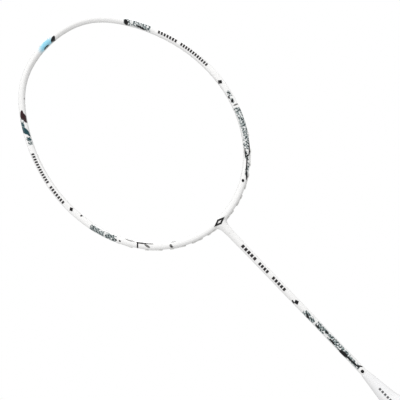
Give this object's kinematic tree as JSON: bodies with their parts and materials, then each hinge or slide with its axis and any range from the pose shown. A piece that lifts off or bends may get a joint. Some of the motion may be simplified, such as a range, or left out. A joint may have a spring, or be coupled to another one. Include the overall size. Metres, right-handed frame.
{
  "type": "badminton racket",
  "caption": "Unstrung badminton racket: slim oval hollow hoop lined with grommets, tapered round shaft, flared cone and octagonal wrapped handle.",
  "frame": {"origin": "centre of the butt's flat end face, the lowest point of the racket standing on its butt", "axes": "+Z along the shaft from the butt to the top of the head, +X across the head, and +Y out of the back of the head; the front face looks to -Y"},
  "size_m": [0.202, 0.029, 0.675],
  "materials": {
    "lacquered_carbon": "white gloss lacquer over carbon fibre, with small printed ornaments",
    "lacquered_shaft": "white gloss lacquer over a carbon tube, with small printed ornaments",
    "throat_resin": "moulded, hidden",
    "cone_plastic": "glossy pale plastic",
    "handle_wood": "bare light wood, hidden",
    "cap_plastic": "white plastic",
    "badge_foil": "teal printed disc",
    "grip_polyurethane": "soft polyurethane wrap with an embossed grain",
    "collar_tape": "satin vinyl tape",
    "staple_steel": "bright wire, hidden",
    "grommet_nylon": "natural nylon"
  },
  "bodies": {
    "root": {"head_frame": "lacquered_carbon", "throat_joint": "throat_resin", "shaft": "lacquered_shaft", "handle_cone": "cone_plastic", "handle_core": "handle_wood", "butt_cap": "cap_plastic", "butt_badge": "badge_foil", "grip": "grip_polyurethane", "grip_collar": "collar_tape", "grip_staple": "staple_steel", "grommet_right_01": "grommet_nylon", "grommet_right_02": "grommet_nylon", "grommet_right_03": "grommet_nylon", "grommet_right_04": "grommet_nylon", "grommet_right_05": "grommet_nylon", "grommet_right_06": "grommet_nylon", "grommet_right_07": "grommet_nylon", "grommet_right_08": "grommet_nylon", "grommet_right_09": "grommet_nylon", "grommet_right_10": "grommet_nylon", "grommet_right_11": "grommet_nylon", "grommet_right_12": "grommet_nylon", "grommet_right_13": "grommet_nylon", "grommet_right_14": "grommet_nylon", "grommet_right_15": "grommet_nylon", "grommet_right_16": "grommet_nylon", "grommet_right_17": "grommet_nylon", "grommet_right_18": "grommet_nylon", "grommet_left_01": "grommet_nylon", "grommet_left_02": "grommet_nylon", "grommet_left_03": "grommet_nylon", "grommet_left_04": "grommet_nylon", "grommet_left_05": "grommet_nylon", "grommet_left_06": "grommet_nylon", "grommet_left_07": "grommet_nylon", "grommet_left_08": "grommet_nylon", "grommet_left_09": "grommet_nylon", "grommet_left_10": "grommet_nylon", "grommet_left_11": "grommet_nylon", "grommet_left_12": "grommet_nylon", "grommet_left_13": "grommet_nylon", "grommet_left_14": "grommet_nylon", "grommet_left_15": "grommet_nylon", "grommet_left_16": "grommet_nylon", "grommet_left_17": "grommet_nylon", "grommet_left_18": "grommet_nylon"}
  },
  "joints": []
}
